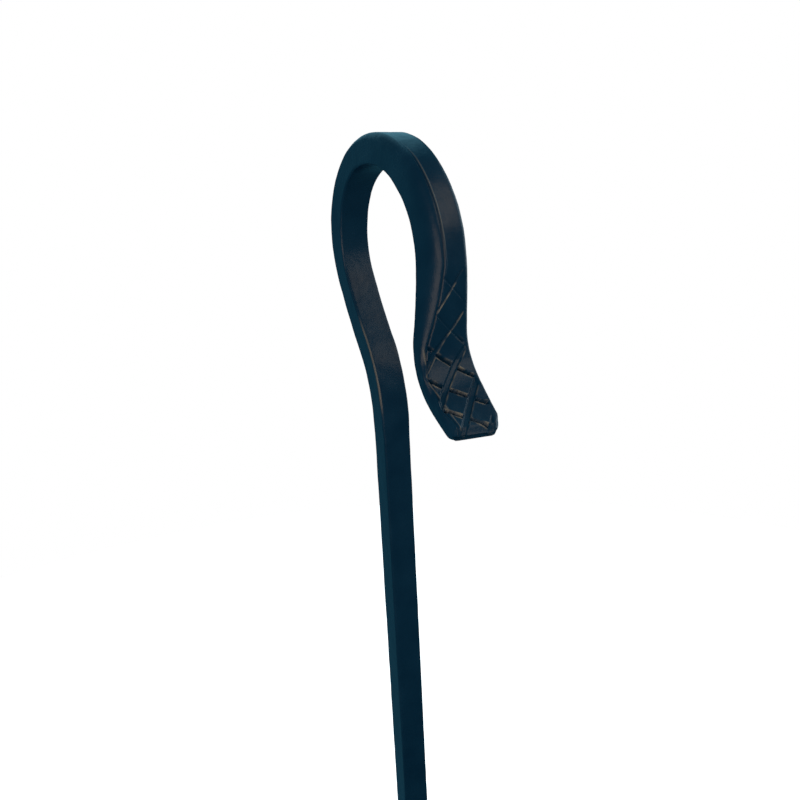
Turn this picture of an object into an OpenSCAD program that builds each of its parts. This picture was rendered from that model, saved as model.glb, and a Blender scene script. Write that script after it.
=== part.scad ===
// Fireplace tool set: a floor stand whose square post ends in a forged crook handle, with a rail
// that carries a shovel, a poker, a brush and a pair of tongs, each on its own smaller crook.
// Millimetres, +Z up, front towards -Y, origin under the middle of the feet.

/* [Base] */
// Width of the base plate along X
plate_w = 300; // [240:5:360]
// Depth of the base plate along Y
plate_d = 220; // [180:5:280]
// Thickness of the base plate
plate_t = 8; // [5:1:12]
// Corner radius of the base plate
plate_r = 22; // [10:1:40]
// Height of the bun feet
foot_h = 10; // [9:1:18]
// Diameter of the bun feet
foot_d = 26; // [18:1:34]

/* [Post and handle] */
// Side of the square bar used for the post and the handle
bar_s = 12; // [10:1:14]
// Distance of the post behind the middle of the plate
post_y = 45; // [25:1:60]
// Height of the joint between post and handle bar
joint_z = 484; // [470:1:510]
// Height at which the handle bar starts to bend
crook_z = 745; // [700:1:780]

/* [Rail] */
// Diameter of the round rail
rail_d = 10; // [8:1:12]
// Length of the round rail
rail_l = 292; // [260:2:320]
// Height of the rail axis
rail_z = 520; // [506:1:540]
// Distance of the rail axis in front of the middle of the plate
rail_y = 35; // [25:1:50]
// Side of the square bar of the arm that carries the rail
arm_s = 10; // [8:1:12]
// Distance between the two middle tools
inner_gap = 72; // [66:1:80]
// Distance between the two outer tools
outer_gap = 216; // [200:1:230]

/* [Tools] */
// Side of the square bar of the hanging tools
tool_s = 8; // [7:1:10]
// Width of the shovel pan
pan_w = 96; // [80:1:104]
// Length of the shovel pan
pan_h = 122; // [100:1:140]
// Depth of the shovel pan at its back wall
pan_d = 24; // [16:1:30]
// Lowest point of the hanging tools above the floor
tool_low = 44; // [34:1:60]
// Diameter of the brush at its bristle ends
brush_d = 46; // [36:1:50]
// Height of the tongs pivot above the floor
pivot_z = 292; // [270:1:310]

/* [Hidden] */
$fn = 48;
// Clearance on each side of a bar or pin in its socket or bore.
gap = 0.05;
top_z = foot_h + plate_t;
iron = [0.02, 0.09, 0.13];
dark = [0.03, 0.05, 0.06];
wood = [0.10, 0.07, 0.05];
hair = [0.20, 0.17, 0.13];

// ---- forged crook, shared by the handle and all four tools ----
// One row per bend of the crook, for a 12 mm bar: length, bend towards the mouth, twist.
// 1-2 lean back, 3-5 go over the top, 6 comes down, 7 runs straight, 8-9 turn the tip outwards.
BENDS = [[36, -41, 2], [34, 10, 0], [26, 40, 5], [35, 61, -5], [37, 47, 5],
         [46, 52, -15], [23, 9, 0], [26, -51, 14], [20, -11, -7]];
// Width and thickness of the bar along the crook, as a multiple of the stock: the tip is beaten flat.
WIDE = [[0, 1.05], [0.45, 1.15], [0.62, 1.2], [0.76, 1.3], [0.88, 1.9], [1, 1.8]];
THICK = [[0, 0.95], [0.45, 0.9], [0.62, 1.15], [0.76, 1.05], [0.88, 0.45], [1, 0.45]];
// Radius of the two outer corners in millimetres on a 12 mm bar.
ROUND = [[0, 1], [0.45, 1.5], [0.62, 3], [0.8, 3], [0.9, 1.2], [1, 0.8]];
STEPS = 5;

function sum_to(n) = n < 0 ? 0 : BENDS[n][0] + sum_to(n - 1);
crook_len = sum_to(len(BENDS) - 1);
function bend_m(b) = [[cos(b), -sin(b), 0], [sin(b), cos(b), 0], [0, 0, 1]];
function twist_m(a) = [[1, 0, 0], [0, cos(a), -sin(a)], [0, sin(a), cos(a)]];
function step_m(i) = bend_m(BENDS[i][1] / STEPS) * twist_m(BENDS[i][2] / STEPS);
function half_m(i) = bend_m(BENDS[i][1] / STEPS / 2);
function dir(f) = [f[0][0], f[1][0], f[2][0]];

// Stations along the crook: place, frame (direction, inward side, width side) and distance run.
n_st = len(BENDS) * STEPS;
STATIONS = [for (i = 0, p = [0, 0, 0], f = [[0, 1, 0], [0, 0, 1], [1, 0, 0]], s = 0; i <= n_st;
                 q = min(floor(i / STEPS), len(BENDS) - 1), d = BENDS[q][0] / STEPS,
                 p = p + dir(f * half_m(q)) * d, f = f * step_m(q), s = s + d, i = i + 1) [p, f, s]];

// One section: a square with rounded corners, given in the inward (n) and width (b) directions.
function corner(n, b, r, a0) = [for (k = [0:2]) [n + r * cos(a0 + 45 * k), b + r * sin(a0 + 45 * k)]];
function section(t, w, ri, ro) = concat(
    corner(t / 2 - ri, w / 2 - ri, ri, 0), corner(-t / 2 + ro, w / 2 - ro, ro, 90),
    corner(-t / 2 + ro, -w / 2 + ro, ro, 180), corner(t / 2 - ri, -w / 2 + ri, ri, 270));
function place(p, f, sec) = [for (c = sec) p + f * [0, c[0], c[1]]];
function crook_ring(s, st) = let (u = st[2] / crook_len, k = s / 12)
    place(st[0] * k, st[1], section(s * lookup(u, THICK), s * lookup(u, WIDE), k, k * lookup(u, ROUND)));
// A ring of the straight bar: z below the crook, share of full thickness and width.
function low_ring(s, r) = let (k = s / 12)
    place([0, 0, r[0]], STATIONS[0][1], section(s * r[1], s * r[2], k * r[3], k * r[3]));

// Bar of stock size s: straight rows from the bottom up, then the crook.
module crook_bar(s, low) {
    rings = concat([for (r = low) low_ring(s, r)], [for (st = STATIONS) crook_ring(s, st)]);
    m = 12;
    n = len(rings);
    sides = [for (i = [0:n - 2], j = [0:m - 1]) let (a = i * m + j, b = i * m + (j + 1) % m)
             each [[a, a + m, b + m], [a, b + m, b]]];
    polyhedron(points = [for (r = rings) each r],
               faces = concat(sides, [[for (j = [0:m - 1]) j]], [[for (j = [m - 1:-1:0]) (n - 1) * m + j]]));
}

// Where the rail sits in a tool crook, measured from the foot of the crook.
k_t = tool_s / 12;
seat_x = -3 * k_t;
seat_z = 107.4 * k_t - rail_d / 2;
tool_y = -rail_y - seat_x;
tool_z = rail_z - seat_z;

// Tool crooks open towards the post, so that a tool lifts up and forwards off the rail.
module at_tool(x) {
    translate([x, tool_y, tool_z]) rotate([0, 0, 90]) children();
}

// Upright hole for square bar of size s, from height z up.
module square_hole(s, z, h) {
    translate([-s / 2 - gap, -s / 2 - gap, z]) cube([s + 2 * gap, s + 2 * gap, h]);
}

// ---- stand ----
module rounded_plate(w, d, t, r) {
    cube([w - 2 * r, d, t], center = true);
    cube([w, d - 2 * r, t], center = true);
    for (sx = [-1, 1], sy = [-1, 1])
        translate([sx * (w / 2 - r), sy * (d / 2 - r), 0]) cylinder(h = t, r = r, center = true);
}

foot_x = plate_w / 2 - 26;
foot_y = plate_d / 2 - 26;
plate_edge = 1.5;

module base_plate() {
    color(iron) difference() {
        union() {
            translate([0, 0, foot_h + plate_t / 2 - plate_edge / 2])
                rounded_plate(plate_w, plate_d, plate_t - plate_edge, plate_r);
            translate([0, 0, top_z - plate_edge / 2])
                rounded_plate(plate_w - 2 * plate_edge, plate_d - 2 * plate_edge, plate_edge,
                              plate_r - plate_edge);
        }
        translate([0, post_y, 0]) cylinder(h = 40, r = 5.05);
        for (sx = [-1, 1], sy = [-1, 1])
            translate([sx * foot_x, sy * foot_y, foot_h - 1]) cylinder(h = 6, r = 2.55);
    }
}

// Turned bun foot with a stud that screws into the plate from below.
module foot(x, y) {
    color(dark) translate([x, y, 0]) {
        rotate_extrude()
            polygon([[0, 0], [foot_d / 2 - 3, 0], [foot_d / 2 - 0.8, 1.6], [foot_d / 2, foot_h / 2],
                     [foot_d / 2 - 1, foot_h - 2.4], [foot_d / 2 - 4, foot_h], [0, foot_h]]);
        translate([0, 0, foot_h - 1]) cylinder(h = 5.5, r = 2.5);
    }
}
module foot_fl() { foot(-foot_x, -foot_y); }
module foot_fr() { foot(foot_x, -foot_y); }
module foot_bl() { foot(-foot_x, foot_y); }
module foot_br() { foot(foot_x, foot_y); }

// Square post with a round tenon that goes down through the plate.
module post() {
    color(iron) translate([0, post_y, 0]) {
        translate([-bar_s / 2, -bar_s / 2, top_z]) cube([bar_s, bar_s, joint_z - top_z]);
        translate([0, 0, 2.5]) cylinder(h = top_z, r = 5);
    }
}

module post_washer() {
    color(dark) translate([0, post_y, foot_h - 1.2]) difference() {
        cylinder(h = 1.2, r = 10);
        translate([0, 0, -1]) cylinder(h = 4, r = 5.05);
    }
}

module post_nut() {
    color(dark) translate([0, post_y, foot_h - 7.2]) difference() {
        cylinder(h = 6, r = 9.4, $fn = 6);
        translate([0, 0, -1]) cylinder(h = 9, r = 5.05);
    }
}

// Domed collar that covers the joint of post and plate.
module base_collar() {
    color(iron) translate([0, post_y, top_z]) difference() {
        rotate_extrude()
            polygon([[0, 0], [20, 0], [20, 3], [17, 6], [12.5, 8], [12, 14], [10.5, 15.5], [0, 15.5]]);
        square_hole(bar_s, -1, 20);
    }
}

hub_h = 22;
// Hub: square sleeve that joins post and handle bar and holds the arm of the rail.
module hub() {
    color(iron) translate([0, post_y, joint_z]) difference() {
        union() {
            translate([-12, -13, -hub_h / 2]) cube([24, 25, hub_h]);
            translate([0, -13, 0]) rotate([90, 0, 0]) cylinder(h = 3, r = 9);
        }
        square_hole(bar_s, -20, 40);
        translate([-arm_s / 2 - gap, -20, -arm_s / 2 - gap]) cube([arm_s + 2 * gap, 13.9, arm_s + 2 * gap]);
        for (dz = [-6, 6]) translate([0, 4, dz]) rotate([-90, 0, 0]) cylinder(h = 12, r = 2.05);
    }
}

// Round-headed screws at the back of the hub, one into the post and one into the handle bar.
module hub_screw(dz) {
    color(dark) translate([0, post_y + 12, joint_z + dz]) rotate([-90, 0, 0]) {
        translate([0, 0, -5.9]) cylinder(h = 6.4, r = 2);
        rotate_extrude() polygon([[0, 0], [4, 0], [3.7, 1.3], [2.6, 2.3], [0, 2.8]]);
    }
}
module hub_screw_low() { hub_screw(-6); }
module hub_screw_high() { hub_screw(6); }

// Handle bar: straight up from the hub, then the big forged crook, mouth towards the front.
module handle() {
    color(iron) translate([0, post_y, crook_z]) rotate([0, 0, -90])
        crook_bar(bar_s, [[joint_z + 0.1 - crook_z, 1, 1, 1]]);
}

arm_bend = 15;
// Arm: square bar forwards from the hub, a quarter bend upwards, and an eye around the rail.
module arm() {
    y1 = -rail_y + arm_bend;
    color(iron) difference() {
        union() {
            translate([-arm_s / 2, y1, joint_z - arm_s / 2]) cube([arm_s, post_y - 6.2 - y1, arm_s]);
            translate([0, y1, joint_z + arm_bend]) rotate([0, 90, 0]) intersection() {
                rotate_extrude() translate([arm_bend - arm_s / 2, -arm_s / 2]) square([arm_s, arm_s]);
                translate([0, -60, -20]) cube([60, 60, 40]);
            }
            translate([-arm_s / 2, -rail_y - arm_s / 2, joint_z + arm_bend])
                cube([arm_s, arm_s, rail_z - joint_z - arm_bend - rail_d / 2 - 1]);
            translate([0, -rail_y, rail_z]) rotate([0, 90, 0])
                cylinder(h = 12, r = rail_d / 2 + 4.5, center = true);
        }
        translate([0, -rail_y, rail_z]) rotate([0, 90, 0])
            cylinder(h = 40, r = rail_d / 2 + gap, center = true);
    }
}

module rail() {
    color(iron) translate([0, -rail_y, rail_z]) rotate([0, 90, 0])
        cylinder(h = rail_l - 10, r = rail_d / 2, center = true);
}

// Stop ring that keeps an inner and an outer tool apart on the rail.
module ring(x) {
    color(iron) translate([x, -rail_y, rail_z]) rotate([0, 90, 0]) difference() {
        rotate_extrude() polygon([[0, -3.5], [7.2, -3.5], [8.5, -2], [8.5, 2], [7.2, 3.5], [0, 3.5]]);
        cylinder(h = 20, r = rail_d / 2 + gap, center = true);
    }
}
module ring_l() { ring(-(inner_gap + outer_gap) / 4); }
module ring_r() { ring((inner_gap + outer_gap) / 4); }

// Ball finial with a neck, closing each end of the rail.
module finial(sx) {
    color(iron) translate([sx * rail_l / 2, -rail_y, rail_z]) rotate([0, 90 * sx, 0]) difference() {
        union() {
            translate([0, 0, 3]) sphere(r = 9.5);
            translate([0, 0, -13]) cylinder(h = 10, r = 7.5);
        }
        translate([0, 0, -20]) cylinder(h = 15.1, r = rail_d / 2 + gap);
    }
}
module finial_l() { finial(-1); }
module finial_r() { finial(1); }

// ---- shovel ----
shovel_x = -outer_gap / 2;
pan_top = tool_low + pan_h;
sock_h = 34;

module shovel_bar() {
    color(iron) at_tool(shovel_x) crook_bar(tool_s, [[pan_top + 3.2 - tool_z, 1, 1, 1]]);
}

// Square socket on a flange, riveted to the back wall of the pan; the bar is driven into it.
module pan_socket() {
    color(iron) translate([shovel_x, tool_y, pan_top]) difference() {
        union() {
            translate([-20, -8, 0]) cube([40, 16, 3]);
            translate([-7, -7, 0]) cube([14, 14, sock_h]);
            translate([-8.5, -8.5, sock_h - 6]) cube([17, 17, 6]);
        }
        square_hole(tool_s, 3.1, 60);
        for (sx = [-1, 1]) translate([sx * 14, 0, -1]) cylinder(h = 6, r = 2.05);
    }
}

// Pan: folded sheet with a floor, two side walls that run out to the lip, and a back wall on top.
module pan_tray(w, h, d, r) {
    translate([0, 0, h / 2]) rounded_plate(w, 2 * d, h, r);
}
module pan() {
    color(iron) translate([shovel_x, tool_y + 10, tool_low]) difference() {
        translate([0, -pan_d, 0]) pan_tray(pan_w, pan_h, pan_d, 9);
        translate([0, -pan_d, -1]) pan_tray(pan_w - 3.6, pan_h - 1, pan_d - 1.8, 7.2);
        translate([-100, -80 - pan_d, -5]) cube([200, 80, pan_h + 20]);
        translate([0, -6, -3]) rotate([8.5, 0, 0]) translate([-100, -60, -30]) cube([200, 60, 220]);
        for (sx = [-1, 1]) translate([sx * 14, -10, pan_h - 5]) cylinder(h = 8, r = 2.05);
    }
}

module rivet(x) {
    color(dark) translate([x, tool_y, pan_top]) {
        translate([0, 0, -2]) cylinder(h = 5, r = 2);
        translate([0, 0, 3]) rotate_extrude() polygon([[0, 0], [3.8, 0], [3.4, 1.2], [2.2, 2], [0, 2.4]]);
        translate([0, 0, -2]) mirror([0, 0, 1])
            rotate_extrude() polygon([[0, 0], [3.8, 0], [3.4, 1.2], [2.2, 2], [0, 2.4]]);
    }
}
module rivet_l() { rivet(shovel_x - 14); }
module rivet_r() { rivet(shovel_x + 14); }

// ---- poker ----
poker_x = -inner_gap / 2;
barb_z = tool_low + 52;

// Poker bar: the lower end is drawn out to a blunt point.
module poker_bar() {
    b = tool_low - tool_z;
    color(iron) at_tool(poker_x)
        crook_bar(tool_s, [[b, 0.2, 0.2, 0.2], [b + 4, 0.42, 0.42, 0.5], [b + 38, 1, 1, 1]]);
}

// Barb: collar driven onto the bar, with a round hook that curls forwards and up to a point.
module poker_barb() {
    color(iron) translate([poker_x, tool_y, barb_z]) {
        difference() {
            translate([-7, -7, -8]) cube([14, 14, 16]);
            square_hole(tool_s, -20, 40);
        }
        translate([0, -6.5, -2]) rotate([90, 0, 0]) cylinder(h = 7.5, r = 3.6);
        translate([0, -14, 10]) rotate([0, 90, 0]) intersection() {
            rotate_extrude() translate([12, 0]) circle(r = 3.6);
            translate([0, -30, -10]) cube([30, 30, 20]);
        }
        translate([0, -26, 10]) cylinder(h = 22, r1 = 3.6, r2 = 0.8);
    }
}

// ---- brush ----
brush_x = inner_gap / 2;
hair_top = tool_low + 74;
block_h = 24;

module brush_bar() {
    color(iron) at_tool(brush_x) crook_bar(tool_s, [[hair_top + block_h + 10.1 - tool_z, 1, 1, 1]]);
}

// Ferrule: turned cap screwed over the top of the block, with a square socket for the bar.
module ferrule() {
    z0 = hair_top + block_h - 8;
    color(iron) translate([brush_x, tool_y, z0]) difference() {
        rotate_extrude()
            polygon([[0, 0], [15, 0], [15, 8], [13, 11], [9, 14], [8, 20], [8, 40], [9.5, 41], [9.5, 46],
                     [0, 46]]);
        translate([0, 0, -1]) cylinder(h = 9.05, r = 13.05);
        square_hole(tool_s, 18.05, 60);
    }
}

// Block: turned wood, the bristles are set in its underside.
module brush_block() {
    color(wood) translate([brush_x, tool_y, hair_top]) rotate_extrude()
        polygon([[0, 0], [17.5, 0], [19.5, 2], [20, 6], [19, 11], [16.5, 15.8], [13, 15.8],
                 [13, block_h], [0, block_h]]);
}

// Bristles: round tuft that spreads towards the floor.
module bristles() {
    color(hair) translate([brush_x, tool_y, tool_low])
        cylinder(h = hair_top - tool_low - gap, r1 = brush_d / 2, r2 = 16.5);
}

// ---- tongs ----
tongs_x = outer_gap / 2;

module tongs_bar() {
    color(iron) at_tool(tongs_x) crook_bar(tool_s, [[pivot_z + 14.1 - tool_z, 1, 1, 1]]);
}

// Yoke: forged fork under the bar, its two cheeks hold the pivot pin.
module yoke() {
    color(iron) translate([tongs_x, tool_y, pivot_z]) difference() {
        union() {
            translate([-8, -9, 0]) cube([16, 18, 34]);
            rotate([90, 0, 0]) cylinder(h = 18, r = 8, center = true);
            translate([-7, -7, 34]) cube([14, 14, 8]);
        }
        translate([-20, -4.7, -20]) cube([40, 9.4, 30.5]);
        rotate([90, 0, 0]) cylinder(h = 40, r = 3.05, center = true);
        square_hole(tool_s, 14, 60);
    }
}

// Pin with a domed head at the front; the cap at the back is riveted over its end.
module pivot_pin() {
    color(dark) translate([tongs_x, tool_y, pivot_z]) rotate([90, 0, 0]) {
        translate([0, 0, -12]) cylinder(h = 21, r = 3);
        translate([0, 0, 9.05]) rotate_extrude()
            polygon([[0, -gap], [5.5, -gap], [5, 1.6], [3.4, 2.8], [0, 3.3]]);
    }
}

module pivot_cap() {
    color(dark) translate([tongs_x, tool_y + 9.05, pivot_z]) rotate([-90, 0, 0]) difference() {
        rotate_extrude() polygon([[0, 0], [5.5, 0], [5.2, 1.6], [4.6, 2.4], [0, 2.4]]);
        translate([0, 0, -1]) cylinder(h = 9, r = 3.05);
    }
}

// Arm of the tongs, from the eye on the pin down to the round claw pad; side is -1 left, +1 right.
ARM_BENDS = [[0, 0], [-8, -58], [-15.5, -120], [-15.5, -180], [-4, -218], [-2.4, -234]];
arm_w = 8;
arm_t = 4.2;
function eased(p) = [p[0], for (i = [0:len(p) - 2], t = [0.25, 0.75]) (1 - t) * p[i] + t * p[i + 1],
                     p[len(p) - 1]];
ARM = eased(eased(ARM_BENDS));
last = len(ARM) - 1;
function half_across(i) = let (v = ARM[min(i + 1, last)] - ARM[max(i - 1, 0)]) [v[1], -v[0]] * arm_w / 2 / norm(v);
ARM_OUTLINE = concat([for (i = [0:last]) ARM[i] + half_across(i)],
                     [for (i = [last:-1:0]) ARM[i] - half_across(i)]);
module tongs_arm(side) {
    color(iron) translate([tongs_x, tool_y, pivot_z]) {
        difference() {
            translate([0, side * 2.35, 0]) scale_x(side) rotate([90, 0, 0]) translate([0, 0, -arm_t / 2]) {
                linear_extrude(height = arm_t) polygon(ARM_OUTLINE);
                cylinder(h = arm_t, r = 7.5);
            }
            translate([side * 0.35 - (side > 0 ? 30 : 0), -20, -250]) cube([30, 40, 60]);
            rotate([90, 0, 0]) cylinder(h = 40, r = 3.06, center = true);
        }
        translate([side * 0.35, 0, -232]) rotate([0, side * 90, 0]) cylinder(h = 4, r = 10);
    }
}
module scale_x(side) {
    if (side > 0) mirror([1, 0, 0]) children();
    else children();
}
module tongs_arm_l() { tongs_arm(-1); }
module tongs_arm_r() { tongs_arm(1); }

base_plate();
foot_fl();
foot_fr();
foot_bl();
foot_br();
post();
post_washer();
post_nut();
base_collar();
hub();
hub_screw_low();
hub_screw_high();
handle();
arm();
rail();
ring_l();
ring_r();
finial_l();
finial_r();
shovel_bar();
pan_socket();
pan();
rivet_l();
rivet_r();
poker_bar();
poker_barb();
brush_bar();
ferrule();
brush_block();
bristles();
tongs_bar();
yoke();
pivot_pin();
pivot_cap();
tongs_arm_l();
tongs_arm_r();
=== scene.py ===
import math
import random

import bmesh
import bpy
from mathutils import Matrix, Vector, noise


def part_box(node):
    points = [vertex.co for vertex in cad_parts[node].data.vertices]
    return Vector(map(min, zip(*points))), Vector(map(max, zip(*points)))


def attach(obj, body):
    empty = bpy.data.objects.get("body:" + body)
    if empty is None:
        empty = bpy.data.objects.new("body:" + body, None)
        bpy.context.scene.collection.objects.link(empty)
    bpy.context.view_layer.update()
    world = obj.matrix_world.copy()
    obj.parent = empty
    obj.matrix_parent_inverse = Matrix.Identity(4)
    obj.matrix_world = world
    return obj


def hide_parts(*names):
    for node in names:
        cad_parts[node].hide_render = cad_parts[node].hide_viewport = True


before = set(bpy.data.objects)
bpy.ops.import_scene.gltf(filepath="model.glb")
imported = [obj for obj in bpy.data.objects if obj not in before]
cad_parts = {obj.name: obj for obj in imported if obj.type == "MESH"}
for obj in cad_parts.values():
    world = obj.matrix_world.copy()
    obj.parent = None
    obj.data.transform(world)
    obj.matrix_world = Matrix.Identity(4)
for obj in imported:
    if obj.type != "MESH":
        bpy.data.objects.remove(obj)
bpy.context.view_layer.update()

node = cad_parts


# ---- Base plate ----
# A thick rolled steel plate with rounded corners, beaten all over with a light hammer and
# painted satin blue-black. Its edges are eased. The post goes through it.

def blank_material(name):
    """A new material and its shader, what adds and links nodes in it, and the place on the piece."""
    mat = bpy.data.materials.new(name)
    mat.use_nodes = True
    tree = mat.node_tree
    place = tree.nodes.new("ShaderNodeTexCoord").outputs["Object"]
    return mat, tree.nodes["Principled BSDF"], tree.nodes.new, tree.links.new, place


def mottle(add, link, place, scale, detail):
    """Cloudy unevenness over a place: scale is how many clouds there are to its unit."""
    pattern = add("ShaderNodeTexNoise")
    pattern.inputs["Scale"].default_value = scale
    pattern.inputs["Detail"].default_value = detail
    link(place, pattern.inputs["Vector"])
    return pattern.outputs["Fac"]


def two_tone(add, link, pattern, low, low_colour, high, high_colour):
    """Runs from one colour to another where a pattern goes from low to high."""
    tone = add("ShaderNodeValToRGB")
    dark, light = tone.color_ramp.elements
    dark.position, dark.color = low, (*low_colour, 1)
    light.position, light.color = high, (*high_colour, 1)
    link(pattern, tone.inputs["Fac"])
    return tone.outputs["Color"]


def relief(add, link, height, strength, depth, under=None):
    """Raises a pattern on the surface, over another relief where one is given. depth is in metres."""
    bump = add("ShaderNodeBump")
    bump.inputs["Strength"].default_value = strength
    bump.inputs["Distance"].default_value = depth
    link(height, bump.inputs["Height"])
    if under is not None:
        link(under.outputs["Normal"], bump.inputs["Normal"])
    return bump


def black_iron(name, dents=0.35, dent_size=0.006, grain=0.12, gloss=0.40, tone=1.0):
    """Blue-black paint over hammered iron: wide dents, fine grain, patchy gloss, warm painted highlights
    where the mesh marks them.
    """
    mat, paint, add, link, place = blank_material(name)
    paint.inputs["Specular IOR Level"].default_value = 0.20
    wide = mottle(add, link, place, 1 / dent_size, 2.0)
    fine = mottle(add, link, place, 1400, 4.0)
    patch = mottle(add, link, place, 75, 3.0)

    deep_blue = [tone * part for part in (0.0003, 0.0145, 0.0375)]
    blue_black = [tone * part for part in (0.0006, 0.0200, 0.0475)]
    # Warm painted highlights: a light brownish colour mixed in as far as the mesh's painted highlight
    # attribute says.
    highlight_mix = add("ShaderNodeMix")
    highlight_mix.data_type = "RGBA"
    highlight_mix.inputs["B"].default_value = (0.150, 0.140, 0.115, 1)
    painted_highlight = add("ShaderNodeAttribute")
    painted_highlight.attribute_name = "painted_highlight"
    link(painted_highlight.outputs["Fac"], highlight_mix.inputs["Factor"])
    link(two_tone(add, link, patch, 0.35, deep_blue, 0.72, blue_black), highlight_mix.inputs["A"])
    link(highlight_mix.outputs["Result"], paint.inputs["Base Color"])

    rough = add("ShaderNodeMapRange")
    rough.inputs["To Min"].default_value = gloss - 0.08
    rough.inputs["To Max"].default_value = gloss + 0.12
    link(patch, rough.inputs["Value"])
    link(rough.outputs["Result"], paint.inputs["Roughness"])

    pitted = add("ShaderNodeMapRange")
    pitted.inputs["From Min"].default_value = 0.45
    pitted.inputs["From Max"].default_value = 0.70
    pitted.inputs["To Min"].default_value = grain * 0.5
    pitted.inputs["To Max"].default_value = grain * 3
    link(patch, pitted.inputs["Value"])
    beaten_in = relief(add, link, wide, dents, 0.0006)
    grained = relief(add, link, fine, grain, 0.00015, under=beaten_in)
    link(pitted.outputs["Result"], grained.inputs["Strength"])
    link(grained.outputs["Normal"], paint.inputs["Normal"])
    return mat


# in square metres
BIG_FLAT = 0.0004


def into_scene(name, bm, mat, body, stands_for, crease):
    """Turns a finished bmesh into a piece that rides on a body.

    It is shaded smooth, but for the big flat faces and the edges that turn by more than crease degrees.
    """
    mesh = bpy.data.meshes.new(name)
    bm.to_mesh(mesh)
    bm.free()
    mesh.polygons.foreach_set("use_smooth", [face.area < BIG_FLAT for face in mesh.polygons])
    mesh.set_sharp_from_angle(angle=math.radians(crease))
    mesh.materials.append(mat)
    piece = bpy.data.objects.new(name, mesh)
    bpy.context.scene.collection.objects.link(piece)
    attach(piece, body)
    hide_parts(stands_for)


def eased_copy(name, ease, mat, body, segments=2):
    """The CAD piece with its sharp edges rounded over by ease, in metres, as on filed and painted iron."""
    bm = bmesh.new()
    bm.from_mesh(node[name].data)
    bmesh.ops.remove_doubles(bm, verts=bm.verts, dist=1e-6)
    bmesh.ops.dissolve_limit(bm, angle_limit=math.radians(1.5), verts=bm.verts, edges=bm.edges)
    sharp = [e for e in bm.edges if len(e.link_faces) == 2 and e.calc_face_angle() > math.radians(32)]
    bmesh.ops.bevel(bm, geom=sharp, offset=ease, offset_type="OFFSET", affect="EDGES", segments=segments,
                    profile=0.5, material=-1, clamp_overlap=True)
    bmesh.ops.triangulate(bm, faces=[f for f in bm.faces if len(f.verts) > 4])
    into_scene(name + "_eased", bm, mat, body, name, crease=50)


plate_paint = black_iron("plate paint", dents=0.5, dent_size=0.012, gloss=0.42)
eased_copy("base_plate", 0.0008, plate_paint, "stand")


# ---- Feet ----
# Four turned steel bun feet, each with a stud that is screwed into the plate from below.
# They are left as turned and painted like the plate.
foot_paint = black_iron("foot paint", dents=0.1, dent_size=0.004, gloss=0.35, tone=0.8)
for foot in ("foot_fl", "foot_fr", "foot_bl", "foot_br"):
    node[foot].data.materials.clear()
    node[foot].data.materials.append(foot_paint)


# ---- Post, its nut and washer, and the collar on the plate ----
# The post is square bar with a round tenon through the plate, drawn tight by a nut underneath.
# A domed collar slides over it and covers the joint.
bar_paint = black_iron("bar paint")
steel = black_iron("blackened steel", dents=0.1, dent_size=0.003, gloss=0.30, tone=0.7)
eased_copy("post", 0.0009, bar_paint, "stand", segments=3)
eased_copy("post_nut", 0.0005, steel, "stand")
eased_copy("post_washer", 0.0002, steel, "stand")
eased_copy("base_collar", 0.0005, bar_paint, "stand")


# ---- Hub and its screws ----
# A forged sleeve over the joint of post and handle bar.
# Two round-headed screws lock it from behind.
eased_copy("hub", 0.0010, bar_paint, "stand", segments=3)
for screw in ("hub_screw_low", "hub_screw_high"):
    eased_copy(screw, 0.0002, steel, "stand")


# ---- Handle bar ----
# One length of square bar. Its top is forged into a crook: the neck leans back, the bow goes over,
# and the end is beaten wide and thin, chiselled with crossing lines and kicked outwards.

STOCK = 0.012
# the crook is worked out in mm for a bar of this width, and scaled to the stock
FULL_BAR = 12
# length in mm, bend towards the mouth and twist, both in degrees
BENDS = ((36, -41, 2), (34, 10, 0), (26, 40, 5), (35, 61, -5), (37, 47, 5),
         (46, 52, -15), (23, 9, 0), (26, -51, 14), (20.8, -11, -7))
BAR_RUN = sum(length for length, bend, twist in BENDS)
# how far down the crook, in mm, something begins and is full
# the painted highlight along the neck's corner comes in over the first span and fades out over the second
NECK_HIGHLIGHT_ON = (4, 12)
NECK_HIGHLIGHT_OFF = (38, 50)
BAND = (164, 186)
CHISELLED = (213, 220)
OPENED_OUT = (238, 252)
END_CORNER = (270, 275)
# where the edge beside the chiselling starts to fold over, and where the mesh gets finer
FOLD_RUN = 246
FINE_RUN = 190


def along(table, share):
    """Straight-line reading of a short table of (share of the crook, value)."""
    for (u0, v0), (u1, v1) in zip(table, table[1:]):
        if share <= u1:
            return v0 + (v1 - v0) * max(0.0, share - u0) / (u1 - u0)
    return table[-1][1]


def wide_at(share):
    """Width of the bar against its stock: it spreads towards the end."""
    return along(((0, 1.05), (0.45, 1.15), (0.62, 1.2), (0.76, 1.3), (0.88, 1.9), (1, 1.8)), share)


def thick_at(share):
    """Thickness of the bar against its stock: it is beaten thin at the end."""
    return along(((0, 0.95), (0.45, 0.9), (0.62, 1.15), (0.76, 1.05), (0.88, 0.45), (1, 0.45)), share)


def shoulder_at(share):
    """Radius in mm of the outer corners: soft where the bow comes down, tight on the neck and the end."""
    return along(((0, 1.0), (0.45, 1.5), (0.62, 3.0), (0.8, 3.0), (0.9, 1.2), (1, 0.8)), share)


def smooth(low, high, x):
    """Rises from 0 at low to 1 at high without a kink."""
    t = min(1.0, max(0.0, (x - low) / (high - low)))
    return t * t * (3 - 2 * t)


def off_line(run, across, first, pitch, slope):
    """Signed distance in mm from the nearest of a family of slanting lines on the outer face."""
    line = run - slope * across - first
    return ((line + pitch / 2) % pitch - pitch / 2) * math.cos(math.atan(slope))


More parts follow.
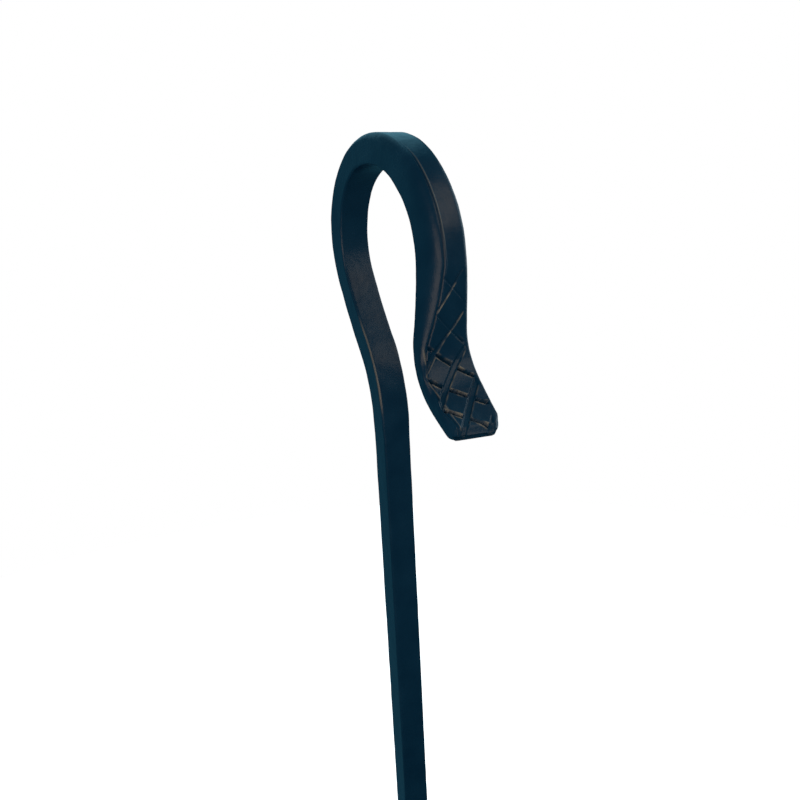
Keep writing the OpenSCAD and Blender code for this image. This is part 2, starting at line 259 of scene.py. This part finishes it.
def chisel(run, across):
    """Depth in mm of the chiselling on the outer face, and how much painted highlight a rim of it gets.

    Steep lines open out into flat channels near the end, and the slanting ones into deep slots between them.
    """
    spread = smooth(*OPENED_OUT, run)
    steep = off_line(run, across, first=222, pitch=17, slope=-1.41)
    slant = off_line(run, across, first=223, pitch=14, slope=0.75)
    channel_half = 0.25 + 0.85 * spread
    channel_depth = 0.35 + 0.30 * spread
    slot_half = 0.25 + 0.40 * spread
    slot_depth = 0.25 + 1.45 * spread
    channel = 1 - smooth(channel_half - 0.20, channel_half + 0.25, abs(steep))
    stopped = 1 - spread * (1 - smooth(channel_half + 0.35, channel_half + 0.75, abs(steep)))
    slot = (1 - smooth(slot_half - 0.15, slot_half + 0.25, abs(slant))) * (0.25 + 0.75 * stopped)
    cut = max(channel_depth * channel, slot_depth * slot)
    steep_rim = 1 - smooth(0.0, 0.40, abs(steep - channel_half - 0.30))
    slot_rim = 1 - smooth(0.0, 0.40, abs(abs(slant) - slot_half - 0.45))
    rim = max(steep_rim * (1 - 0.6 * spread), slot_rim * spread * stopped)
    started = smooth(*CHISELLED, run)
    return cut * started, rim * started * (1 - smooth(0.1, 0.4, cut))


def tip_pull(run, across, half_wide):
    """How far in mm the end is cut back: slanted, with a large soft corner and a small round one."""
    slant, soft_corner, small_corner = 0.8, 5.2, 1.5
    over = max(0.0, across - (half_wide - soft_corner))
    under = max(0.0, -across - (half_wide - small_corner))
    cut = slant * (across / half_wide + 1)
    cut += soft_corner * (over / soft_corner) ** 2.2
    cut += small_corner - math.sqrt(max(0.0, small_corner ** 2 - under ** 2))
    opened = OPENED_OUT[1]
    return cut * max(0.0, (run - opened) / (BAR_RUN - opened)) ** 2


def bar_outline(thick, wide, inner_r, outer_r, near_deep, fineness):
    """Points round one section, in mm: (inward, aside, whether it is on the outer face).

    The outer corner on the near side goes near_deep down the side, which may be more than its radius.
    """
    corners = ((1, 1, inner_r, inner_r), (-1, 1, outer_r, outer_r),
               (-1, -1, near_deep, outer_r), (1, -1, inner_r, inner_r))
    # pieces, at a fineness of 1, of the far side, the outer face, the near side and the inner face
    flats = (6, 22, 6, 5)
    steps = 1 + 3 * fineness
    arcs = []
    for quarter, (inner_or_outer, far_or_near, deep, radius) in enumerate(corners):
        arc = []
        for i in range(steps + 1):
            angle = math.radians(90 * (quarter + i / steps))
            inward = inner_or_outer * (thick / 2 - deep) + deep * math.cos(angle)
            aside = far_or_near * (wide / 2 - radius) + radius * math.sin(angle)
            arc.append((inward, aside))
        arcs.append(arc)
    points = []
    for quarter, arc in enumerate(arcs):
        points += [(inward, aside, False) for inward, aside in arc]
        (n0, b0), (n1, b1) = arc[-1], arcs[(quarter + 1) % 4][0]
        gaps = flats[quarter] * fineness
        for i in range(1, gaps):
            points.append((n0 + (n1 - n0) * i / gaps, b0 + (b1 - b0) * i / gaps, quarter == 1))
    return points


def crook_stations(step_of):
    """Places, turns (along, inward, aside) and run down the crook, in mm."""
    place = Vector((0, 0, 0))
    turn = Matrix(((0, 1, 0), (0, 0, 1), (1, 0, 0)))
    run = 0.0
    stations = [(place.copy(), turn.copy(), run)]
    for length, bend, twist in BENDS:
        steps = max(1, round(length / step_of(run)))
        bend_step = Matrix.Rotation(math.radians(bend / steps), 3, "Z")
        half_bend = Matrix.Rotation(math.radians(bend / steps / 2), 3, "Z")
        twist_step = Matrix.Rotation(math.radians(twist / steps), 3, "X")
        for i in range(steps):
            place = place + (turn @ half_bend) @ Vector((length / steps, 0, 0))
            turn = turn @ bend_step @ twist_step
            run += length / steps
            stations.append((place.copy(), turn.copy(), run))
    return stations


def crook_section(run, fineness):
    """One section of the crook: (inward, aside, how far it is cut back, how much painted highlight) in mm.
    """
    share = run / BAR_RUN
    wide = FULL_BAR * wide_at(share)
    thick = FULL_BAR * thick_at(share) * (1 - 0.65 * smooth(BAR_RUN - 3.5, BAR_RUN + 0.5, run))
    shoulder = min(shoulder_at(share), 0.45 * thick)
    near_deep = shoulder * (1 + 1.2 * smooth(1.5, 3.0, shoulder))
    inner = min(1.0, 0.45 * thick)
    lip = smooth(FOLD_RUN, FOLD_RUN + 10, run) * (0.7 * math.sin((run - (FOLD_RUN - 2)) * 0.40) + 0.5)
    points = []
    for inward, aside, outer in bar_outline(thick, wide, inner, shoulder, near_deep, fineness):
        edge = wide / 2 - shoulder - abs(aside)
        cut, rim = chisel(run, aside)
        painted_highlight = 0.0
        # A thin painted highlight along the corner of the inner face and the near side, low on the neck.
        if inward > 0 and aside < 0:
            corner_highlight = 1 - smooth(0.45, 0.85, math.hypot(wide / 2 + aside, thick / 2 - inward))
            painted_highlight = 0.5 * corner_highlight * smooth(*NECK_HIGHLIGHT_ON, run) * (1 - smooth(*NECK_HIGHLIGHT_OFF, run))
        # The near edge of the outer face folds over towards the end; a painted highlight runs along the
        # fold.
        if inward < 0 and aside < 0:
            fold = 0.9 + 2.4 * smooth(FOLD_RUN, BAR_RUN, run) + 0.5 * math.sin((run - FOLD_RUN) * 0.33)
            folded = 1 - smooth(0.0, 0.60, abs(wide / 2 + aside - fold))
            folded *= smooth(FOLD_RUN - 3, FOLD_RUN + 2, run)
            folded *= 1 - smooth(0.1, 0.5, cut)
            inward -= 0.15 * folded
            painted_highlight = 0.6 * folded
        if outer:
            on_corner = smooth(-4.5, -3.0, aside - wide / 2) * smooth(*END_CORNER, run)
            held = smooth(0.3, 1.3, edge) * (1 - on_corner)
            inward += (cut - 0.12 * rim) * held
            # Painted highlights on the raised rims of the chiselling, in patches.
            patchy = 0.6 + 2.0 * noise.noise(Vector((run, aside, 0)) * 0.30)
            painted_highlight = max(painted_highlight, rim * held * patchy)
            if aside < 0:
                groove = 1 - smooth(0.0, 0.50, abs(edge - 0.40))
                crest = 1 - smooth(0.0, 0.45, abs(edge - 1.15))
                banded = smooth(*BAND, run)
                inward += (0.40 * groove - 0.12 * crest) * banded
                # A painted highlight along the crest beside the groove, from the band down to the
                # chiselling.
                painted_highlight = max(painted_highlight, 0.45 * crest * banded * (1 - smooth(205, 215, run)))
        if inward < 0:
            aside += lip * smooth(wide / 2 - 4, wide / 2 - 1, -aside) * smooth(0, thick / 2, -inward)
        points.append((inward, aside, tip_pull(run, aside, wide / 2), painted_highlight))
    return points


def beaten(point, outward):
    """Nudges a point in or out by the unevenness that the hammer leaves, in metres."""
    return point + outward * (noise.noise(point * 150) * 0.00012 + noise.noise(point * 480) * 0.00004)


def grown_through(rings):
    """A closed mesh drawn out from the first ring through all the others: lists of (point, painted
    highlight).
    """
    bm = bmesh.new()
    spot = bm.verts.layers.int.new("spot")
    highlight_layer = bm.verts.layers.float.new("painted_highlight")
    first = []
    for i, (point, painted_highlight) in enumerate(rings[0]):
        vert = bm.verts.new(point)
        vert[spot] = i
        first.append(vert)
    end = bm.faces.new(first)
    left_inside = []
    for ring in rings[1:]:
        left_inside.append(end)
        grown = bmesh.ops.extrude_face_region(bm, geom=[end])["geom"]
        end = next(part for part in grown if isinstance(part, bmesh.types.BMFace))
        for vert in end.verts:
            vert.co, vert[highlight_layer] = ring[vert[spot]]
    bmesh.ops.delete(bm, geom=left_inside[1:], context="FACES_ONLY")
    bmesh.ops.recalc_face_normals(bm, faces=bm.faces)
    return bm


def forged_bar(stock, foot, facing, rows, fineness):
    """A square bar: straight rows (metres from the crook, size, corner in mm), then the crook.

    foot is where the crook starts, facing the way its mouth opens.
    """
    scale = stock / FULL_BAR
    side = Vector((0, 0, 1)).cross(facing)
    lay = Matrix((facing, side, (0, 0, 1))).transposed()
    stations = crook_stations(lambda run: 4 / fineness if run < FINE_RUN else 0.9 / fineness)
    upright = stations[0][1]
    rings = []
    for height, size, corner in rows:
        ring = []
        width = FULL_BAR * size
        for inward, aside, outer in bar_outline(width, width, corner, corner, corner, fineness):
            out = upright @ Vector((0, inward, aside))
            point = foot + lay @ (out * scale + Vector((0, 0, height)))
            ring.append((beaten(point, lay @ out.normalized()), 0.0))
        rings.append(ring)
    for place, turn, run in stations:
        ring = []
        for inward, aside, pull, painted_highlight in crook_section(run, fineness):
            out = turn @ Vector((0, inward, aside))
            pulled = turn @ Vector((-pull, 0, 0))
            point = foot + lay @ (place + out + pulled) * scale
            ring.append((beaten(point, lay @ out.normalized()), painted_highlight))
        rings.append(ring)
    end_rim = [point for point, painted_highlight in rings[-1]]
    centre = sum(end_rim, Vector()) / len(end_rim)
    bulge = lay @ turn @ Vector((1, 0, 0)) * 0.0004
    for shrink in (0.92, 0.6, 0.25):
        rings.append([(centre + (point - centre) * shrink + bulge * (1 - shrink), 0.0) for point in end_rim])
    return grown_through(rings)


post_low, post_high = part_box("post")
handle_low, handle_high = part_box("handle")
# the top of the bow stands this far above the foot of the crook
BOW_RISE = 0.12020
HANDLE_ROWS = 50
post_y = (post_low.y + post_high.y) / 2
handle_foot = Vector((0, post_y, handle_high.z - BOW_RISE))
drop = handle_low.z - handle_foot.z
rows = [(drop * (1 - i / HANDLE_ROWS), 1 + 0.001 * i / HANDLE_ROWS, 1.0) for i in range(HANDLE_ROWS)]
handle_bar = forged_bar(STOCK, handle_foot, Vector((0, -1, 0)), rows, fineness=3)
handle_paint = black_iron("handle paint", dents=0.30, dent_size=0.005, grain=0.28, gloss=0.33)
into_scene("handle_bar", handle_bar, handle_paint, "stand", "handle", crease=60)


# ---- Arm, rail, rings and finials ----
# The arm is square bar bent up a quarter turn, with an eye that holds the round rail.
# Two stop rings part the inner tools from the outer ones, and a ball closes each end.
eased_copy("arm", 0.0009, bar_paint, "stand", segments=3)
rail_paint = black_iron("rail paint", dents=0.12, dent_size=0.004, gloss=0.33)
for part in ("rail", "ring_l", "ring_r", "finial_l", "finial_r"):
    eased_copy(part, 0.0003, rail_paint, "stand")


# ---- Tool bars ----
# Each tool has a lighter square bar with the same crook at two thirds of the size.
# They hang with the mouth towards the post and lift up and forwards off the rail.
TOOL_STOCK = 0.008
TOOL_ROWS = 40
POINT_LENGTH = 0.038
tool_rise = BOW_RISE * TOOL_STOCK / STOCK
tuft_low, tuft_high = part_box("bristles")
tool_y = (tuft_low.y + tuft_high.y) / 2
# each tool's bar, and the piece near its low end that it is in line with
tool_pieces = {"shovel": ("shovel_bar", "pan"), "poker": ("poker_bar", "poker_barb"),
               "brush": ("brush_bar", "bristles"), "tongs": ("tongs_bar", "yoke")}
for tool, (bar, end_piece) in tool_pieces.items():
    bar_low, bar_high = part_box(bar)
    end_low, end_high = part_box(end_piece)
    foot = Vector(((end_low.x + end_high.x) / 2, tool_y, bar_high.z - tool_rise))
    drop = bar_low.z - foot.z
    rows = [(drop * (1 - i / TOOL_ROWS), 1.0, 1.0) for i in range(TOOL_ROWS)]
    if tool == "poker":
        full = drop + POINT_LENGTH
        rows = [(drop, 0.2, 0.2), (drop + 0.002, 0.32, 0.4), (drop + 0.004, 0.42, 0.5), (full, 1.0, 1.0)]
        rows += [(full * (1 - i / TOOL_ROWS), 1.0, 1.0) for i in range(1, TOOL_ROWS)]
    tool_bar = forged_bar(TOOL_STOCK, foot, Vector((0, 1, 0)), rows, fineness=2)
    into_scene(tool + "_forged_bar", tool_bar, bar_paint, tool, bar, crease=60)


# ---- Shovel pan and socket ----
# The pan is folded sheet with a back wall and two side walls that run out to the lip.
# Its socket stands on a flange with two rivets.
pan_paint = black_iron("pan paint", dents=0.45, dent_size=0.010, gloss=0.42)
eased_copy("pan", 0.0004, pan_paint, "shovel")
eased_copy("pan_socket", 0.0007, bar_paint, "shovel")
for rivet in ("rivet_l", "rivet_r"):
    eased_copy(rivet, 0.0002, steel, "shovel")


# ---- Poker barb ----
# A collar driven onto the poker's bar above its drawn-out point, with a round hook that curls
# forwards and up to a point of its own.
eased_copy("poker_barb", 0.0006, bar_paint, "poker")


# ---- Brush ----
# A turned and stained wooden block under a painted ferrule. A round tuft of stiff natural fibre
# is set into the lower end of the block and spreads downwards.
def drawn_out(add, link, place, across, lengthwise):
    """The place on a piece, squeezed across and stretched down it, so that a mottle turns into streaks."""
    lie = add("ShaderNodeMapping")
    lie.inputs["Scale"].default_value = (across, across, lengthwise)
    link(place, lie.inputs["Vector"])
    return lie.outputs["Vector"]


def stained_wood(name):
    """Dark stained wood with a fine upright grain and open pores."""
    mat, wood, add, link, place = blank_material(name)
    wood.inputs["Roughness"].default_value = 0.45
    grain = mottle(add, link, drawn_out(add, link, place, 260, 18), 1.0, 5.0)
    stain = two_tone(add, link, grain, 0.35, (0.010, 0.005, 0.003), 0.7, (0.050, 0.024, 0.012))
    link(stain, wood.inputs["Base Color"])
    pores = relief(add, link, grain, 0.25, 0.0002)
    link(pores.outputs["Normal"], wood.inputs["Normal"])
    return mat


def fibre(name):
    """Stiff natural fibre, streaked from dark to light brown down its length."""
    mat, hair, add, link, place = blank_material(name)
    hair.inputs["Roughness"].default_value = 0.65
    streak = mottle(add, link, drawn_out(add, link, place, 900, 25), 1.0, 2.0)
    brown = two_tone(add, link, streak, 0.3, (0.035, 0.022, 0.012), 0.75, (0.22, 0.15, 0.085))
    link(brown, hair.inputs["Base Color"])
    return mat


eased_copy("brush_block", 0.0006, stained_wood("stained wood"), "brush")
eased_copy("ferrule", 0.0004, bar_paint, "brush")

STRANDS = 1500
GOLDEN_ANGLE = 2.39996
ROOT_R = 0.0155
tuft_x = (tuft_low.x + tuft_high.x) / 2
tip_r = (tuft_high.x - tuft_low.x) / 2 - 0.0012
tuft_length = tuft_high.z - tuft_low.z
random.seed(7)
tuft = bmesh.new()
for i in range(STRANDS):
    ring = math.sqrt((i + 0.5) / STRANDS)
    angle = i * GOLDEN_ANGLE
    outward = Vector((math.cos(angle), math.sin(angle), 0)) * ring
    root = outward * ROOT_R
    tip = outward * tip_r
    tip += Vector((random.uniform(-1, 1), random.uniform(-1, 1), 0)) * 0.0009
    length = tuft_length - random.uniform(0.0, 0.0035) - 0.003 * ring * ring
    lean = Vector((tip.x - root.x, tip.y - root.y, -length))
    strand = bmesh.ops.create_cone(tuft, cap_ends=True, segments=4, radius1=0.00055, radius2=0.00030,
                                   depth=lean.length)["verts"]
    spin = lean.to_track_quat("Z", "Y").to_matrix().to_4x4()
    halfway = Vector((tuft_x, tool_y, tuft_high.z)) + root + lean / 2
    bmesh.ops.transform(tuft, matrix=Matrix.Translation(halfway) @ spin, verts=strand)
into_scene("bristle_tuft", tuft, fibre("bristle fibre"), "brush", "bristles", crease=40)


# ---- Tongs ----
# A forged yoke under the bar holds both arms on one riveted pin, on which each turns by itself.
# The arms are flat bar, bowed outwards, and end in round pads.
eased_copy("yoke", 0.0007, bar_paint, "tongs")
for part in ("pivot_pin", "pivot_cap"):
    eased_copy(part, 0.0002, steel, "tongs")
eased_copy("tongs_arm_l", 0.0006, bar_paint, "tongs_left")
eased_copy("tongs_arm_r", 0.0006, bar_paint, "tongs_right")


# ---- Floor, light and camera ----
# A plain pale floor under a white studio, with broad soft lamps: warm ones in front and above, cool
# ones to the right and behind. The camera stands close to the crook, level with its bow.
FLOOR_R = 1.6
floor_mesh = bmesh.new()
bmesh.ops.create_circle(floor_mesh, cap_ends=True, segments=96, radius=FLOOR_R)
floor_data = bpy.data.meshes.new("floor")
floor_mesh.to_mesh(floor_data)
floor_mesh.free()
floor = bpy.data.objects.new("floor", floor_data)
bpy.context.scene.collection.objects.link(floor)
pale = bpy.data.materials.new("pale floor")
pale.use_nodes = True
pale_paint = pale.node_tree.nodes["Principled BSDF"]
pale_paint.inputs["Base Color"].default_value = (0.80, 0.81, 0.82, 1)
pale_paint.inputs["Roughness"].default_value = 0.9
pale_paint.inputs["Emission Color"].default_value = (0.97, 0.99, 1.0, 1)
pale_paint.inputs["Emission Strength"].default_value = 0.95
floor_data.materials.append(pale)
floor.visible_glossy = False
floor.visible_diffuse = False

world = bpy.data.worlds.new("studio")
world.use_nodes = True
sky = world.node_tree
rays = sky.nodes.new("ShaderNodeLightPath")


def all_round(background, colour, strength):
    """Sets up an even light from everywhere."""
    background.inputs["Color"].default_value = (*colour, 1)
    background.inputs["Strength"].default_value = strength
    return background.outputs["Background"]


def by_ray(kind, otherwise, light):
    """One light for rays of a kind, and another for the rest."""
    choice = sky.nodes.new("ShaderNodeMixShader")
    sky.links.new(rays.outputs[kind], choice.inputs["Fac"])
    sky.links.new(otherwise, choice.inputs[1])
    sky.links.new(light, choice.inputs[2])
    return choice.outputs["Shader"]


mirrored = all_round(sky.nodes.new("ShaderNodeBackground"), (0.15, 0.70, 1.0), 0.26)
fill = all_round(sky.nodes.new("ShaderNodeBackground"), (0.85, 0.96, 1.0), 0.34)
backdrop = all_round(sky.nodes["Background"], (1.0, 1.0, 1.0), 1.0)
surroundings = by_ray("Is Camera Ray", by_ray("Is Diffuse Ray", mirrored, fill), backdrop)
sky.links.new(surroundings, sky.nodes["World Output"].inputs["Surface"])
bpy.context.scene.world = world
bpy.context.scene.view_settings.view_transform = "Standard"


def lamp(name, size, power, colour, place, aim):
    """A soft rectangular lamp, with its size and place in metres and its power in watts."""
    light = bpy.data.lights.new(name, "AREA")
    light.shape = "RECTANGLE"
    light.size, light.size_y = size
    light.energy = power
    light.color = colour
    holder = bpy.data.objects.new(name, light)
    holder.location = place
    holder.rotation_euler = (Vector(aim) - Vector(place)).to_track_quat("-Z", "Y").to_euler()
    bpy.context.scene.collection.objects.link(holder)


middle = (0, 0, 0.5)
crook = (0, 0, 0.8)
lamp("front lamp", (2.4, 1.0), 26, (1.0, 0.78, 0.60), (-1.20, -1.38, 1.26), crook)
lamp("top lamp", (0.9, 0.8), 6, (1.0, 0.84, 0.66), (1.00, -0.75, 1.97), crook)
lamp("right lamp", (1.0, 1.6), 9, (0.78, 0.93, 1.0), (1.93, 0.52, 1.1), middle)
lamp("back lamp", (2.2, 2.4), 12, (0.32, 0.80, 1.0), (0.1, 1.9, 2.2), middle)

eye = handle_foot + Vector((-0.1215, -0.3060, 0.1112))
target = handle_foot + Vector((0, -0.0110, 0.0135))
roll = math.radians(-2.96)
ahead = (target - eye).normalized()
right = ahead.cross(Vector((0, 0, 1))).normalized()
up = right.cross(ahead)
right_rolled = right * math.cos(roll) + up * math.sin(roll)
up_rolled = up * math.cos(roll) - right * math.sin(roll)
lens = bpy.data.cameras.new("camera")
lens.lens = 36
lens.sensor_width = 36
lens.clip_start = 0.01
camera = bpy.data.objects.new("camera", lens)
turned = Matrix((right_rolled, up_rolled, -ahead)).transposed().to_4x4()
camera.matrix_world = Matrix.Translation(eye) @ turned
bpy.context.scene.collection.objects.link(camera)
bpy.context.scene.camera = camera
